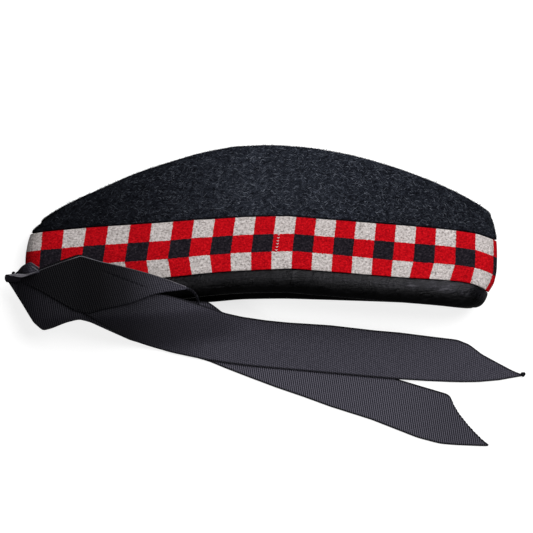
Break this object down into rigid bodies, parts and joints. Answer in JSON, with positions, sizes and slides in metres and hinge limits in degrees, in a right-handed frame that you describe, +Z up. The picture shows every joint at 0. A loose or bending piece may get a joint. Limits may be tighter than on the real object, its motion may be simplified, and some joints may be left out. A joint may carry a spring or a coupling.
{
  "type": "glengarry cap",
  "caption": "Boat-shaped felt cap with a lengthwise crease, a diced band, a padded leather binding round the rim and ribbons at the back, lying on its side.",
  "frame": {"origin": "middle of the part's footprint, on the surface that it lies on", "axes": "+X from the back of the cap to its front, +Y from the rim to the crown, +Z up from the left side that it lies on to the right side"},
  "size_m": [0.3278, 0.1912, 0.0386],
  "materials": {
    "felt": "dark navy wool felt, matt with a short nap",
    "dicing": "woven tape with red, white and dark squares in three rows",
    "leather": "soft black leather, half gloss",
    "ribbon": "black grosgrain, faint sheen"
  },
  "bodies": {
    "root": {"felt_crown": "felt", "diced_band": "dicing", "leather_binding": "leather", "ribbon_lower": "ribbon", "ribbon_upper": "ribbon", "ribbon_gather": "ribbon"}
  },
  "joints": []
}
